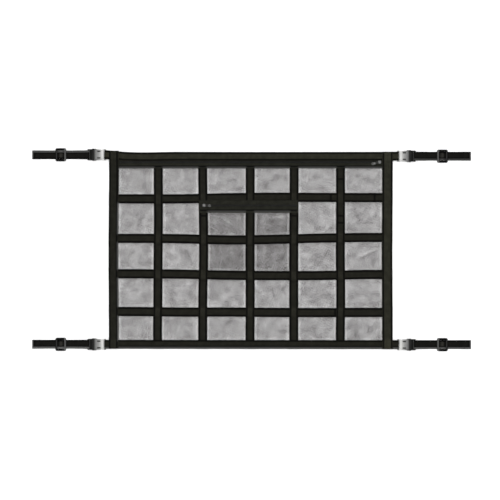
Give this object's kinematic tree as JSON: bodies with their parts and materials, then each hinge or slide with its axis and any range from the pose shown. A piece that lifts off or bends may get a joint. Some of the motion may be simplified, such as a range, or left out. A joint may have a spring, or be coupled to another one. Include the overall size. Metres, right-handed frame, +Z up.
{
  "type": "car ceiling storage net",
  "caption": "Flat zipped bag of fine mesh under a webbing grid, with a zipped pocket, side-release buckles and adjustable hanging straps, for the space under a car's ceiling.",
  "frame": {"origin": "middle of the net, on the surface that it lies on", "axes": "+X along the net's length and the hanging straps, +Y towards the long top zip, +Z up out of the face with the webbing grid"},
  "size_m": [1.2396, 0.573, 0.0122],
  "materials": {
    "mesh_fabric": "fine black knitted mesh, sheer, matt with a faint sheen on its puckers",
    "webbing": "black woven webbing with fine ribs and stitched edges, matt",
    "zip_tape": "black woven zip tape, matt",
    "zip_chain": "black coil zip chain, slightly glossy",
    "zip_metal": "dark grey plated slider and pull, satin",
    "grey_plastic": "silver-grey moulded plastic, glossy",
    "black_plastic": "black moulded plastic, semi-matt"
  },
  "bodies": {
    "root": {"back_panel": "mesh_fabric", "front_panel": "mesh_fabric", "pocket_panel": "mesh_fabric", "cross_web_1": "webbing", "cross_web_2": "webbing", "cross_web_3": "webbing", "cross_web_4": "webbing", "upright_web_1": "webbing", "upright_web_2": "webbing", "upright_web_3": "webbing", "upright_web_4": "webbing", "upright_web_5": "webbing", "side_web_left": "webbing", "side_web_right": "webbing", "top_web": "webbing", "bottom_web": "webbing", "strap_top_left": "webbing", "strap_top_right": "webbing", "strap_bottom_left": "webbing", "strap_bottom_right": "webbing", "top_zip_tape": "zip_tape", "pocket_zip_tape": "zip_tape", "top_zip_chain": "zip_chain", "pocket_zip_chain": "zip_chain", "top_zip_slider": "zip_metal", "top_zip_pull": "zip_metal", "pocket_zip_slider": "zip_metal", "pocket_zip_pull": "zip_metal", "buckle_female_top_left": "grey_plastic", "buckle_female_top_right": "grey_plastic", "buckle_female_bottom_left": "grey_plastic", "buckle_female_bottom_right": "grey_plastic", "buckle_male_top_left": "black_plastic", "buckle_male_top_right": "black_plastic", "buckle_male_bottom_left": "black_plastic", "buckle_male_bottom_right": "black_plastic", "tri_glide_top_left": "black_plastic", "tri_glide_top_right": "black_plastic", "tri_glide_bottom_left": "black_plastic", "tri_glide_bottom_right": "black_plastic"}
  },
  "joints": []
}
